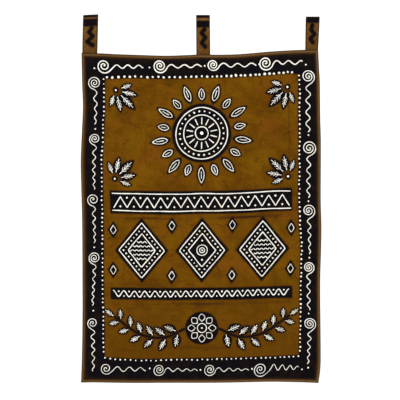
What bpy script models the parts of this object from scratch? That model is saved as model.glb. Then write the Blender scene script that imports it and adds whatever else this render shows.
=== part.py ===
"""Cotton wall hanging: a dyed panel with turned hems and three hanging tabs.

Metres, +Z up. The front faces -Y and +X is the front's right. The tabs' folds lie in the plane
Y = 0, and the origin is where a rod would bear, on the panel's middle line and level with the
inside of the middle tab's fold.
"""

import math
from collections import namedtuple

import bmesh
import bpy

MM = 0.001

# The cloth and the gap that touching pieces keep
CLOTH = 1.2 * MM
CLEARANCE = 0.3 * MM

# The panel, nominally square, and the hem turned to its back
PANEL_WIDTH = 570 * MM
PANEL_HEIGHT = 785 * MM
TOP_BELOW_ROD = 93 * MM
HEM_WIDTH = 8 * MM
HEM_STEP = 1.5 * MM
HEM_THICKNESS = 2.4 * MM
HEM_EDGE = 1.4 * MM

# The tabs: a strip folded double, sewn to the back of the top hem
SEWN_BELOW_EDGE = 12 * MM
SPLIT_ABOVE_EDGE = 5 * MM
LOOP_RADIUS = 6 * MM

# The panel's middle surface lies in front of the tabs' plane
PANEL_Y = -(CLOTH + CLEARANCE + HEM_THICKNESS) + CLOTH / 2

# Steps along each form
PANEL_CELLS_ACROSS = 22
PANEL_CELLS_DOWN = 30
TAB_CELLS_ACROSS = 4
SEWN_STEPS = 2
LEG_STEPS = 8
FOLD_STEPS = 7

# How far each side strays from the straight, in millimetres, going down from the top corner
SidePoint = namedtuple("SidePoint", "down outwards")
LEFT_SIDE = (
    SidePoint(down=0, outwards=1.0),
    SidePoint(down=72, outwards=-0.5),
    SidePoint(down=129, outwards=-2.4),
    SidePoint(down=186, outwards=0.0),
    SidePoint(down=258, outwards=2.7),
    SidePoint(down=330, outwards=1.4),
    SidePoint(down=387, outwards=0.0),
    SidePoint(down=559, outwards=-1.0),
    SidePoint(down=645, outwards=-1.0),
    SidePoint(down=731, outwards=0.5),
    SidePoint(down=785, outwards=2.6),
)
RIGHT_SIDE = (
    SidePoint(down=0, outwards=-5.7),
    SidePoint(down=43, outwards=-3.6),
    SidePoint(down=72, outwards=-1.9),
    SidePoint(down=158, outwards=-0.7),
    SidePoint(down=215, outwards=1.0),
    SidePoint(down=358, outwards=0.7),
    SidePoint(down=416, outwards=2.3),
    SidePoint(down=473, outwards=1.4),
    SidePoint(down=550, outwards=-0.6),
    SidePoint(down=731, outwards=0.6),
    SidePoint(down=760, outwards=-1.2),
    SidePoint(down=785, outwards=-5.0),
)

# The same for the top and bottom edges, in millimetres from the middle line
EdgePoint = namedtuple("EdgePoint", "across up")
TOP_EDGE = (
    EdgePoint(across=-285, up=2.6),
    EdgePoint(across=-247, up=1.9),
    EdgePoint(across=-204, up=0.0),
    EdgePoint(across=-146, up=-2.4),
    EdgePoint(across=-82, up=-4.2),
    EdgePoint(across=-32, up=-2.4),
    EdgePoint(across=0, up=-0.9),
    EdgePoint(across=40, up=-1.6),
    EdgePoint(across=97, up=0.2),
    EdgePoint(across=155, up=4.7),
    EdgePoint(across=212, up=8.7),
    EdgePoint(across=241, up=10.0),
    EdgePoint(across=285, up=10.3),
)
BOTTOM_EDGE = (
    EdgePoint(across=-285, up=-0.5),
    EdgePoint(across=-247, up=0.2),
    EdgePoint(across=-105, up=-0.7),
    EdgePoint(across=40, up=-0.2),
    EdgePoint(across=126, up=1.7),
    EdgePoint(across=169, up=2.4),
    EdgePoint(across=226, up=1.0),
    EdgePoint(across=285, up=-1.4),
)

# Where each tab stands, in millimetres: its middle, its widths, how far its fold is shifted
# sideways and raised, and how far the fold is turned, in degrees
Tab = namedtuple("Tab", "name middle base_width fold_width shift raised turn")
TABS = (
    Tab(name="tab_left", middle=-267.0, base_width=36.0, fold_width=35.0, shift=2.5, raised=0.7, turn=2.9),
    Tab(name="tab_middle", middle=4.9, base_width=33.0, fold_width=32.7, shift=-0.8, raised=0.0, turn=0.0),
    Tab(name="tab_right", middle=263.7, base_width=30.6, fold_width=32.0, shift=3.1, raised=-3.8, turn=0.0),
)

# The soft waves in which the cloth hangs: millimetres for a whole wave across and down, where it
# starts, and its height. A fade of 1 leaves only its start at the top edge, -1 only the bottom.
Wave = namedtuple("Wave", "across down start height fade")
WAVES = (
    Wave(across=268, down=2600, start=0.30, height=2.4, fade=0.0),
    Wave(across=151, down=-1500, start=0.05, height=1.1, fade=1.0),
    Wave(across=193, down=1900, start=0.62, height=1.5, fade=-1.0),
    Wave(across=-1300, down=390, start=0.15, height=0.9, fade=0.0),
)

# Round each tab's seam the tab holds the cloth flat
FLAT_ACROSS = 24 * MM
FREE_ACROSS = 85 * MM
FLAT_DOWN = 26 * MM
FREE_DOWN = 170 * MM

PANEL_COLOUR = (0.115, 0.052, 0.010)
TAB_COLOUR = (0.120, 0.055, 0.017)
COTTON_ROUGHNESS = 0.85


def clear_scene():
    for item in list(bpy.data.objects):
        bpy.data.objects.remove(item, do_unlink=True)


def eased(share):
    """0 to 1 with level ends."""
    share = min(max(share, 0.0), 1.0)
    return share * share * (3 - 2 * share)


def mixed(first, last, share):
    return first + (last - first) * share


def along(points, place):
    """The second column at a place on the first, on a smooth curve through the table's points."""
    places = [point[0] for point in points]
    values = [point[1] for point in points]
    last = len(points) - 1
    place = min(max(place, places[0]), places[last])
    index = next(i for i in range(last) if place <= places[i + 1])
    span = places[index + 1] - places[index]
    share = (place - places[index]) / span

    def slope(i):
        low, high = max(i - 1, 0), min(i + 1, last)
        return (values[high] - values[low]) / (places[high] - places[low]) * span

    start, end = values[index], values[index + 1]
    rise = end - start
    curve = slope(index) * share * (1 - share) ** 2 - slope(index + 1) * share**2 * (1 - share)
    return start + rise * eased(share) + curve


def top_z(x):
    """The height of the panel's top edge."""
    return -TOP_BELOW_ROD + along(TOP_EDGE, x / MM) * MM


def bottom_z(x):
    return -TOP_BELOW_ROD - PANEL_HEIGHT + along(BOTTOM_EDGE, x / MM) * MM


def left_x(down):
    return -PANEL_WIDTH / 2 - along(LEFT_SIDE, down / MM) * MM


def right_x(down):
    return PANEL_WIDTH / 2 + along(RIGHT_SIDE, down / MM) * MM


def freedom(x, down):
    """0 where a tab's seam holds the cloth flat, 1 away from it."""
    free = 1.0
    for tab in TABS:
        aside = abs(x - tab.middle * MM)
        near_across = 1 - eased((aside - FLAT_ACROSS) / (FREE_ACROSS - FLAT_ACROSS))
        near_down = 1 - eased((down - FLAT_DOWN) / (FREE_DOWN - FLAT_DOWN))
        free *= 1 - near_across * near_down
    return free


def ripple(x, down):
    """How far the cloth stands in front of its flat plane."""
    height = 0.0
    for wave in WAVES:
        turns = x / (wave.across * MM) + down / (wave.down * MM) + wave.start
        fade = 1.0
        if wave.fade > 0:
            fade = 1 - eased(down / PANEL_HEIGHT)
        elif wave.fade < 0:
            fade = eased(down / PANEL_HEIGHT)
        height += wave.height * MM * fade * math.cos(math.tau * turns)
    return height * freedom(x, down)


def panel_place(across, down):
    """The point of the panel's middle surface at flat distances from its top left corner."""
    x = mixed(left_x(down), right_x(down), across / PANEL_WIDTH)
    z = mixed(top_z(x), bottom_z(x), down / PANEL_HEIGHT)
    return x, PANEL_Y - ripple(x, down), z


def hem_lines(size, cells):
    """Distances across the panel: its edge, the hem's roll and fold line, then even cells."""
    inside = HEM_WIDTH + HEM_STEP
    hem = [0.0, HEM_WIDTH / 2, HEM_WIDTH]
    even = [mixed(inside, size - inside, i / cells) for i in range(cells + 1)]
    return hem + even + [size - distance for distance in reversed(hem)]


def faces_at(distance):
    """How far the front and the back lie from the middle surface, this far in from an edge."""
    front = CLOTH / 2
    if distance < HEM_WIDTH / 4:
        return front - (HEM_THICKNESS - HEM_EDGE) / 2, HEM_EDGE - front + (HEM_THICKNESS - HEM_EDGE) / 2
    if distance < HEM_WIDTH + HEM_STEP / 2:
        return front, HEM_THICKNESS - front
    return front, CLOTH / 2


def material(name, colour):
    made = bpy.data.materials.new(name)
    made.use_nodes = True
    shader = made.node_tree.nodes["Principled BSDF"]
    shader.inputs["Base Color"].default_value = (*colour, 1)
    shader.inputs["Roughness"].default_value = COTTON_ROUGHNESS
    shader.inputs["Metallic"].default_value = 0
    return made


def add_object(name, bm, colour):
    """Turns the bmesh into an object whose faces point out."""
    bmesh.ops.recalc_face_normals(bm, faces=bm.faces)
    mesh = bpy.data.meshes.new(name)
    bm.to_mesh(mesh)
    bm.free()
    mesh.shade_smooth()
    mesh.set_sharp_from_angle(angle=math.radians(40))
    mesh.materials.append(material(name, colour))
    made = bpy.data.objects.new(name, mesh)
    bpy.context.scene.collection.objects.link(made)
    return made


def build_panel():
    """One closed sheet: a front and a back grid, joined round the edge."""
    bm = bmesh.new()
    across_lines = hem_lines(PANEL_WIDTH, PANEL_CELLS_ACROSS)
    down_lines = hem_lines(PANEL_HEIGHT, PANEL_CELLS_DOWN)
    front, back = [], []
    for down in down_lines:
        front_row, back_row = [], []
        for across in across_lines:
            inset = min(across, down, PANEL_WIDTH - across, PANEL_HEIGHT - down)
            to_front, to_back = faces_at(inset)
            x, y, z = panel_place(across, down)
            front_row.append(bm.verts.new((x, y - to_front, z)))
            back_row.append(bm.verts.new((x, y + to_back, z)))
        front.append(front_row)
        back.append(back_row)
    rows, columns = len(down_lines), len(across_lines)
    for grid in (front, back):
        for r in range(rows - 1):
            for c in range(columns - 1):
                bm.faces.new((grid[r][c], grid[r][c + 1], grid[r + 1][c + 1], grid[r + 1][c]))
    rim = [(0, c) for c in range(columns)]
    rim += [(r, columns - 1) for r in range(1, rows)]
    rim += [(rows - 1, c) for c in range(columns - 2, -1, -1)]
    rim += [(r, 0) for r in range(rows - 2, 0, -1)]
    for (r, c), (next_r, next_c) in zip(rim, rim[1:] + rim[:1]):
        bm.faces.new((front[r][c], front[next_r][next_c], back[next_r][next_c], back[r][c]))
    return add_object("panel", bm, PANEL_COLOUR)


def strip_rows(base, split, top):
    """The strip from its front end, up over the fold and down to its back end.

    Each row is its height and how far its outer and inner faces stand from the tab's plane, with
    the front negative. Below the split the two legs are sewn together and share their inner face.
    """
    fold_z = top - LOOP_RADIUS * math.cos(math.pi / (2 * FOLD_STEPS))
    leg = [(mixed(base, split, i / SEWN_STEPS), 0.0) for i in range(SEWN_STEPS)]
    for i in range(LEG_STEPS):
        share = i / LEG_STEPS
        leg.append((mixed(split, fold_z, share), LOOP_RADIUS * math.sin(share * math.pi / 2)))
    rows = [((-opened - CLOTH, z), (-opened, z)) for z, opened in leg]
    for i in range(FOLD_STEPS + 1):
        angle = math.pi * (1 - i / FOLD_STEPS)
        reach = (math.cos(angle), math.sin(angle))
        outer, inner = LOOP_RADIUS + CLOTH, LOOP_RADIUS
        rows.append(
            ((outer * reach[0], fold_z + outer * reach[1]), (inner * reach[0], fold_z + inner * reach[1]))
        )
    rows += [((opened + CLOTH, z), (opened, z)) for z, opened in reversed(leg)]
    return rows


def build_tab(tab):
    """A strip folded into a loop, its two ends sewn together behind the panel's top edge."""
    edge = top_z(tab.middle * MM)
    base, split, top = edge - SEWN_BELOW_EDGE, edge + SPLIT_ABOVE_EDGE, tab.raised * MM
    rows = strip_rows(base, split, top)
    last = len(rows) - 1
    turn = math.tan(math.radians(tab.turn))
    bm = bmesh.new()

    def place(y, z, side):
        share = min(max((z - base) / (top - base), 0.0), 1.0)
        half = mixed(tab.base_width, tab.fold_width, share) / 2 * MM
        x = tab.middle * MM + side * half + tab.shift * MM * share
        return x, y, z + turn * side * half * eased((z - split) / (top - split))

    outer, inner = [], []
    for j in range(TAB_CELLS_ACROSS + 1):
        side = mixed(-1, 1, j / TAB_CELLS_ACROSS)
        outer.append([bm.verts.new(place(*row[0], side)) for row in rows])
        ring = [None] * (last + 1)
        for i, row in enumerate(rows):
            sewn = i <= SEWN_STEPS or i >= last - SEWN_STEPS
            mirrored = last - i
            ring[i] = ring[mirrored] if sewn and ring[mirrored] else bm.verts.new(place(*row[1], side))
        inner.append(ring)

    for j in range(TAB_CELLS_ACROSS):
        for i in range(last):
            bm.faces.new((outer[j][i], outer[j][i + 1], outer[j + 1][i + 1], outer[j + 1][i]))
            if SEWN_STEPS <= i < last - SEWN_STEPS:
                bm.faces.new((inner[j][i], inner[j][i + 1], inner[j + 1][i + 1], inner[j + 1][i]))
        for end in (0, last):
            bm.faces.new((outer[j][end], inner[j][end], inner[j + 1][end], outer[j + 1][end]))
    for j in (0, TAB_CELLS_ACROSS):
        for i in range(last):
            bm.faces.new((outer[j][i], outer[j][i + 1], inner[j][i + 1], inner[j][i]))
    return add_object(tab.name, bm, TAB_COLOUR)


clear_scene()
build_panel()
for one_tab in TABS:
    build_tab(one_tab)
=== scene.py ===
"""Looks of the cotton wall hanging: a wax-resist dyed panel with turned hems and three tabs.

Every place on a cloth is first given flat, in metres across from its left edge and down from its
top edge, and is then hung on the form that the solids have.
"""

import math
import random
from collections import namedtuple

import bpy
import numpy as np
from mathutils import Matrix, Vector
from mathutils.geometry import delaunay_2d_cdt


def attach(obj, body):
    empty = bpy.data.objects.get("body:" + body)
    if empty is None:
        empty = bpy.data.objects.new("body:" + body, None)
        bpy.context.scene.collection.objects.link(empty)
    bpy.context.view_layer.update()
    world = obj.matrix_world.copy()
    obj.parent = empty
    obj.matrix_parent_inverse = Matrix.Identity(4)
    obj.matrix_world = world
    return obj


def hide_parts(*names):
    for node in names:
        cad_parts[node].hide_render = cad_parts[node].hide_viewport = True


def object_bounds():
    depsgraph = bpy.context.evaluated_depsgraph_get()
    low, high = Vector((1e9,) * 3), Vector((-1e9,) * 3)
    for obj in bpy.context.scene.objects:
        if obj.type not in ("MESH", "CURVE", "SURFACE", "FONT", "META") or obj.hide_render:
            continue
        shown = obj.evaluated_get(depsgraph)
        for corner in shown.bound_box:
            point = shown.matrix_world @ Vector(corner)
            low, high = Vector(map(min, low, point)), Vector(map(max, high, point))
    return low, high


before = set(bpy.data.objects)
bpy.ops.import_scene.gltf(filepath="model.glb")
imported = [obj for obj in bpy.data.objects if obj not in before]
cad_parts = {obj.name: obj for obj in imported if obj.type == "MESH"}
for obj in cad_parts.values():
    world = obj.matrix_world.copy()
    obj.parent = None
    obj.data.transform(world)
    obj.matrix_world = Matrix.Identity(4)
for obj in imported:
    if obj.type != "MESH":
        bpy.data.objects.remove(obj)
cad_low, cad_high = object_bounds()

MM = 0.001
SEED = 7

# The solids' own sizes
CLOTH = 1.2 * MM
CLEARANCE = 0.3 * MM
PANEL_WIDTH = 570 * MM
PANEL_HEIGHT = 785 * MM
TOP_BELOW_ROD = 93 * MM
HEM_THICKNESS = 2.4 * MM
SEWN_BELOW_EDGE = 12 * MM
SPLIT_ABOVE_EDGE = 5 * MM
LOOP_RADIUS = 6 * MM
PANEL_Y = -(CLOTH + CLEARANCE + HEM_THICKNESS) + CLOTH / 2

# How far each side of the panel strays from the straight, in millimetres
SidePoint = namedtuple("SidePoint", "down outwards")
LEFT_SIDE = (
    SidePoint(down=0, outwards=1.0),
    SidePoint(down=72, outwards=-0.5),
    SidePoint(down=129, outwards=-2.4),
    SidePoint(down=186, outwards=0.0),
    SidePoint(down=258, outwards=2.7),
    SidePoint(down=330, outwards=1.4),
    SidePoint(down=387, outwards=0.0),
    SidePoint(down=559, outwards=-1.0),
    SidePoint(down=645, outwards=-1.0),
    SidePoint(down=731, outwards=0.5),
    SidePoint(down=785, outwards=2.6),
)
RIGHT_SIDE = (
    SidePoint(down=0, outwards=-5.7),
    SidePoint(down=43, outwards=-3.6),
    SidePoint(down=72, outwards=-1.9),
    SidePoint(down=158, outwards=-0.7),
    SidePoint(down=215, outwards=1.0),
    SidePoint(down=358, outwards=0.7),
    SidePoint(down=416, outwards=2.3),
    SidePoint(down=473, outwards=1.4),
    SidePoint(down=550, outwards=-0.6),
    SidePoint(down=731, outwards=0.6),
    SidePoint(down=760, outwards=-1.2),
    SidePoint(down=785, outwards=-5.0),
)
EdgePoint = namedtuple("EdgePoint", "across up")
TOP_EDGE = (
    EdgePoint(across=-285, up=2.6),
    EdgePoint(across=-247, up=1.9),
    EdgePoint(across=-204, up=0.0),
    EdgePoint(across=-146, up=-2.4),
    EdgePoint(across=-82, up=-4.2),
    EdgePoint(across=-32, up=-2.4),
    EdgePoint(across=0, up=-0.9),
    EdgePoint(across=40, up=-1.6),
    EdgePoint(across=97, up=0.2),
    EdgePoint(across=155, up=4.7),
    EdgePoint(across=212, up=8.7),
    EdgePoint(across=241, up=10.0),
    EdgePoint(across=285, up=10.3),
)
BOTTOM_EDGE = (
    EdgePoint(across=-285, up=-0.5),
    EdgePoint(across=-247, up=0.2),
    EdgePoint(across=-105, up=-0.7),
    EdgePoint(across=40, up=-0.2),
    EdgePoint(across=126, up=1.7),
    EdgePoint(across=169, up=2.4),
    EdgePoint(across=226, up=1.0),
    EdgePoint(across=285, up=-1.4),
)
Tab = namedtuple("Tab", "name middle base_width fold_width shift raised turn")
TABS = (
    Tab(name="tab_left", middle=-267.0, base_width=36.0, fold_width=35.0, shift=2.5, raised=0.7, turn=2.9),
    Tab(name="tab_middle", middle=4.9, base_width=33.0, fold_width=32.7, shift=-0.8, raised=0.0, turn=0.0),
    Tab(name="tab_right", middle=263.7, base_width=30.6, fold_width=32.0, shift=3.1, raised=-3.8, turn=0.0),
)

# The waves in which the cloth hangs, in millimetres, and where the tabs hold it flat
Wave = namedtuple("Wave", "across down start height fade")
WAVES = (
    Wave(across=268, down=2600, start=0.30, height=2.4, fade=0.0),
    Wave(across=151, down=-1500, start=0.05, height=1.1, fade=1.0),
    Wave(across=193, down=1900, start=0.62, height=1.5, fade=-1.0),
    Wave(across=-1300, down=390, start=0.15, height=0.9, fade=0.0),
)
FLAT_ACROSS = 24 * MM
FREE_ACROSS = 85 * MM
FLAT_DOWN = 26 * MM
FREE_DOWN = 170 * MM

# The creases that stayed in the cloth, in flat millimetres: the two ends, depth and half width
Crease = namedtuple("Crease", "across down to_across to_down depth half")
CREASES = (
    Crease(across=75, down=100, to_across=190, to_down=112, depth=0.7, half=3.5),
    Crease(across=60, down=128, to_across=150, to_down=150, depth=0.6, half=4),
    Crease(across=140, down=78, to_across=265, to_down=95, depth=0.5, half=3),
    Crease(across=95, down=165, to_across=215, to_down=140, depth=0.6, half=4),
    Crease(across=230, down=120, to_across=330, to_down=150, depth=-0.4, half=5),
    Crease(across=498, down=70, to_across=503, to_down=560, depth=0.8, half=5),
    Crease(across=470, down=60, to_across=478, to_down=260, depth=0.5, half=4),
    Crease(across=66, down=300, to_across=80, to_down=560, depth=0.5, half=5),
    Crease(across=110, down=590, to_across=300, to_down=575, depth=0.5, half=5),
    Crease(across=60, down=660, to_across=190, to_down=690, depth=0.6, half=4),
    Crease(across=330, down=560, to_across=500, to_down=610, depth=-0.5, half=6),
    Crease(across=250, down=395, to_across=420, to_down=405, depth=0.5, half=5),
)
CRUMPLE_WAVES = 14
CRUMPLE_HEIGHT = 0.11 * MM
CRUMPLE_SHORTEST = 15 * MM
CRUMPLE_LONGEST = 70 * MM
PUCKER_HEIGHT = 0.28 * MM
PUCKER_LENGTHS = (19 * MM, 7.3 * MM)
PUCKER_REACH = 7 * MM

# The turned hem: how far in from the fold, and how far in front of the cloth's middle surface. The
# top hem is deeper, and its insets are this share of the real ones.
Profile = namedtuple("Profile", "inset out")
HEM_FRONT = (
    Profile(inset=0.0, out=-0.15),
    Profile(inset=0.4, out=0.35),
    Profile(inset=1.2, out=0.72),
    Profile(inset=2.8, out=0.92),
    Profile(inset=4.8, out=0.86),
    Profile(inset=6.2, out=0.60),
    Profile(inset=7.2, out=0.28),
    Profile(inset=8.4, out=0.46),
    Profile(inset=11.0, out=0.50),
)
HEM_BACK = (
    Profile(inset=-0.25, out=-0.50),
    Profile(inset=-0.20, out=-0.95),
    Profile(inset=0.30, out=-1.45),
    Profile(inset=1.60, out=-1.68),
    Profile(inset=4.60, out=-1.66),
    Profile(inset=7.20, out=-1.36),
    Profile(inset=8.00, out=-1.25),
    Profile(inset=8.30, out=-0.95),
    Profile(inset=7.90, out=-0.62),
    Profile(inset=5.00, out=-0.50),
)
TAB_FRONT = (
    Profile(inset=0.0, out=-0.45),
    Profile(inset=0.3, out=-0.18),
    Profile(inset=0.9, out=0.00),
    Profile(inset=1.7, out=-0.04),
    Profile(inset=2.3, out=-0.16),
    Profile(inset=2.9, out=-0.04),
    Profile(inset=4.5, out=0.00),
)
TAB_BACK = (
    Profile(inset=-0.12, out=-0.62),
    Profile(inset=0.10, out=-0.86),
    Profile(inset=0.70, out=-0.95),
    Profile(inset=3.00, out=-0.92),
    Profile(inset=8.00, out=-0.95),
    Profile(inset=12.0, out=-0.95),
)
TOP_HEM_SHARE = 0.84
TAB_BUTT_GAP = 0.4 * MM
TAB_SLACK = 0.15 * MM

# How closely the cloths are divided
PANEL_STATION = 4.6 * MM
PANEL_GRID = 5.0 * MM
TAB_STATION = 2.0 * MM
TAB_GRID_ACROSS = 3.0 * MM
TAB_GRID_ALONG = 1.8 * MM
CLEAR_OF_MARKS = 1.3 * MM
LEAST_INSET = 0.1 * MM

# The dyed marks' edges, and how far their distances are told
WAX_EDGE = 0.8 * MM
DARK_EDGE = 0.8 * MM
REACH = 6 * MM


def eased(share):
    share = np.clip(share, 0.0, 1.0)
    return share * share * (3 - 2 * share)


def mixed(first, last, share):
    return first + (last - first) * share


def along(points, place):
    """The second column at places on the first, on a smooth curve through the table's points."""
    table = np.array(points, float)
    places, values = table[:, 0], table[:, 1]
    last = len(places) - 1
    low = np.maximum(np.arange(last + 1) - 1, 0)
    high = np.minimum(np.arange(last + 1) + 1, last)
    slopes = (values[high] - values[low]) / (places[high] - places[low])
    place = np.clip(place, places[0], places[last])
    index = np.clip(np.searchsorted(places, place) - 1, 0, last - 1)
    span = places[index + 1] - places[index]
    share = (place - places[index]) / span
    rise = (values[index + 1] - values[index]) * eased(share)
    start = slopes[index] * span * share * (1 - share) ** 2
    end = slopes[index + 1] * span * share**2 * (1 - share)
    return values[index] + rise + start - end


def top_z(x):
    return -TOP_BELOW_ROD + along(TOP_EDGE, x / MM) * MM


def bottom_z(x):
    return -TOP_BELOW_ROD - PANEL_HEIGHT + along(BOTTOM_EDGE, x / MM) * MM


def left_x(down):
    return -PANEL_WIDTH / 2 - along(LEFT_SIDE, down / MM) * MM


def right_x(down):
    return PANEL_WIDTH / 2 + along(RIGHT_SIDE, down / MM) * MM


def freedom(x, down):
    """0 where a tab's seam holds the cloth flat, 1 away from it."""
    free = 1.0
    for tab in TABS:
        aside = np.abs(x - tab.middle * MM)
        near_across = 1 - eased((aside - FLAT_ACROSS) / (FREE_ACROSS - FLAT_ACROSS))
        near_down = 1 - eased((down - FLAT_DOWN) / (FREE_DOWN - FLAT_DOWN))
        free = free * (1 - near_across * near_down)
    return free


def ripple(x, down):
    """How far the cloth stands in front of its flat plane."""
    height = 0.0
    for wave in WAVES:
        turns = x / (wave.across * MM) + down / (wave.down * MM) + wave.start
        fade = 1.0
        if wave.fade > 0:
            fade = 1 - eased(down / PANEL_HEIGHT)
        elif wave.fade < 0:
            fade = eased(down / PANEL_HEIGHT)
        height = height + wave.height * MM * fade * np.cos(math.tau * turns)
    return height * freedom(x, down)


def crumple_waves():
    """Directions, lengths and starts of the many small waves that leave the cloth uneven."""
    rng = random.Random(SEED)
    waves = []
    for _ in range(CRUMPLE_WAVES):
        angle = rng.uniform(0, math.pi)
        length = mixed(CRUMPLE_SHORTEST, CRUMPLE_LONGEST, rng.random() ** 2)
        waves.append((math.cos(angle) / length, math.sin(angle) / length, rng.random()))
    return waves


CRUMPLES = crumple_waves()


def relief(across, down):
    """The creases, the crumpled surface and the puckers beside the hem's seam."""
    height = 0.0
    for crease in CREASES:
        start = np.array((crease.across, crease.down)) * MM
        way = np.array((crease.to_across - crease.across, crease.to_down - crease.down)) * MM
        length = np.hypot(*way)
        share = np.clip(((across - start[0]) * way[0] + (down - start[1]) * way[1]) / length**2, 0, 1)
        bow = 0.06 * length * np.sin(share * math.pi * 1.7)
        aside_across = across - start[0] - share * way[0] + bow * way[1] / length
        aside_down = down - start[1] - share * way[1] - bow * way[0] / length
        near = np.exp(-(aside_across**2 + aside_down**2) / (crease.half * MM) ** 2)
        height = height - crease.depth * MM * near * np.sin(share * math.pi) ** 0.5
    for per_across, per_down, start in CRUMPLES:
        wave = np.sin(math.tau * (across * per_across + down * per_down + start))
        height = height + CRUMPLE_HEIGHT * wave * np.abs(wave)
    to_side = np.minimum(across, PANEL_WIDTH - across)
    to_end = np.minimum(down, PANEL_HEIGHT - down)
    run = np.where(to_side < to_end, down, across)
    beyond = (np.minimum(to_side, to_end) - PUCKER_REACH) / PUCKER_REACH
    pucker = np.sin(math.tau * run / PUCKER_LENGTHS[0]) + np.sin(math.tau * run / PUCKER_LENGTHS[1])
    return height + PUCKER_HEIGHT * pucker / 2 * np.exp(-(beyond**2))


def hang(across, down, out):
    """Points of the hung panel at flat places, this far in front of its middle surface."""
    across, down = np.asarray(across, float), np.asarray(down, float)
    x = mixed(left_x(down), right_x(down), across / PANEL_WIDTH)
    z = mixed(top_z(x), bottom_z(x), down / PANEL_HEIGHT)
    y = PANEL_Y - ripple(x, down) - relief(across, down) - out
    return np.stack((x, y, z), axis=-1)


LEG_POINTS = 60
FOLD_POINTS = 40


class Strip:
    """A tab's outer face: flat across its width, and along it from the front end over the fold."""

    def __init__(self, tab):
        self.tab = tab
        edge = float(top_z(tab.middle * MM))
        self.base = edge - SEWN_BELOW_EDGE
        self.split = edge + SPLIT_ABOVE_EDGE
        self.top = tab.raised * MM
        self.width = tab.base_width * MM
        skin = CLOTH - TAB_SLACK
        leg_z = np.linspace(self.base, self.top - LOOP_RADIUS, LEG_POINTS)
        share = np.clip((leg_z - self.split) / (leg_z[-1] - self.split), 0, 1)
        leg_y = -(LOOP_RADIUS * np.sin(share * math.pi / 2) + skin)
        angle = np.linspace(math.pi, 0, FOLD_POINTS)[1:-1]
        fold_y = (LOOP_RADIUS + skin) * np.cos(angle)
        fold_z = self.top - LOOP_RADIUS + (LOOP_RADIUS + skin) * np.sin(angle)
        self.y = np.concatenate((leg_y, fold_y, -leg_y[::-1]))
        self.z = np.concatenate((leg_z, fold_z, leg_z[::-1]))
        steps = np.hypot(np.diff(self.y), np.diff(self.z))
        self.run = np.concatenate(((0.0,), np.cumsum(steps)))
        self.length = self.run[-1]

    def hang(self, across, run, out):
        across, run = np.asarray(across, float), np.asarray(run, float)
        y, z = np.interp(run, self.run, self.y), np.interp(run, self.run, self.z)
        step = 0.5 * MM
        way_y = np.interp(run + step, self.run, self.y) - np.interp(run - step, self.run, self.y)
        way_z = np.interp(run + step, self.run, self.z) - np.interp(run - step, self.run, self.z)
        long = np.maximum(np.hypot(way_y, way_z), 1e-9)
        y, z = y - out * way_z / long, z + out * way_y / long
        share = np.clip((z - self.base) / (self.top - self.base), 0, 1)
        side = 2 * across / self.width - 1
        half = mixed(self.tab.base_width, self.tab.fold_width, share) / 2 * MM
        x = self.tab.middle * MM + side * half + self.tab.shift * MM * share
        turned = math.tan(math.radians(self.tab.turn)) * side * half
        z = z + turned * eased((z - self.split) / (self.top - self.split))
        cup = 0.25 * MM * np.sin(run / (23 * MM)) * (side**2 - 0.4) * eased((share - 0.2) / 0.2)
        return np.stack((x, y - cup, z), axis=-1)

    def below_fold(self, distance):
        """The run on the front leg this far below the top of the fold, in metres."""
        radius = LOOP_RADIUS + CLOTH
        if distance < radius:
            return self.length / 2 - radius * math.acos(1 - distance / radius)
        return self.length / 2 - radius * math.pi / 2 - (distance - radius)


# A dyed or waxed mark: a line with half a width, or a filled outline where half is 0. A cut mark
# takes away from those before it.
Mark = namedtuple("Mark", "line half closed cut")


class Design:
    """The marks on one cloth, in flat metres, and the soft stains round them."""

    def __init__(self, seed):
        self.dark = []
        self.wax = []
        self.stains = []
        self.rng = random.Random(seed)

    def uneven(self, line, size, closed=False):
        """The line as a hand draws it, wandering up to this far."""
        line = np.array(line, float)
        steps = np.hypot(*np.diff(line, axis=0, append=line[:1]).T)
        run = np.concatenate(((0.0,), np.cumsum(steps)[:-1]))
        whole = max(float(steps.sum() if closed else run[-1]), MM)
        moved = np.zeros_like(line)
        for axis in (0, 1):
            for cycles in (1, 2, 3, 5):
                turns = cycles * run / whole + self.rng.random()
                moved[:, axis] += np.sin(math.tau * turns) * self.rng.uniform(0.2, 0.45)
        return line + moved * size

    def area(self, layer, outline, cut=False):
        layer.append(Mark(np.array(outline, float), 0.0, True, cut))

    def stroke(self, layer, line, width, closed=False):
        layer.append(Mark(np.array(line, float), width / 2, closed, False))

    def dot(self, layer, across, down, radius, sides=14):
        """A dot of wax or dye, never quite round."""
        start, lean = self.rng.random(), self.rng.uniform(0.02, 0.10)
        angles = math.tau * (np.arange(sides) + 0.5) / sides
        reach = radius * (1 + lean * np.cos(2 * angles + math.tau * start))
        self.area(layer, np.stack((across + reach * np.cos(angles), down + reach * np.sin(angles)), -1))

    def stain(self, across, down, half_across, half_down, strength):
        self.stains.append((across, down, half_across, half_down, strength))


def resampled(line, step):
    """The same line with points about this far apart."""
    line = np.array(line, float)
    run = np.concatenate(((0.0,), np.cumsum(np.hypot(*np.diff(line, axis=0).T))))
    places = np.linspace(0, run[-1], max(2, round(run[-1] / step) + 1))
    return np.stack([np.interp(places, run, line[:, axis]) for axis in (0, 1)], -1)


def curved(points, step):
    """A smooth line through a few points, with points about this far apart."""
    points = np.array(points, float)
    fine = np.linspace(0, len(points) - 1, 16 * (len(points) - 1) + 1)
    index = np.arange(len(points))
    columns = [along(np.stack((index, points[:, axis]), -1), fine) for axis in (0, 1)]
    return resampled(np.stack(columns, -1), step)


def circle(across, down, radius, step):
    sides = max(10, round(math.tau * radius / step))
    angles = math.tau * np.arange(sides) / sides
    return np.stack((across + radius * np.cos(angles), down + radius * np.sin(angles)), -1)


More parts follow.
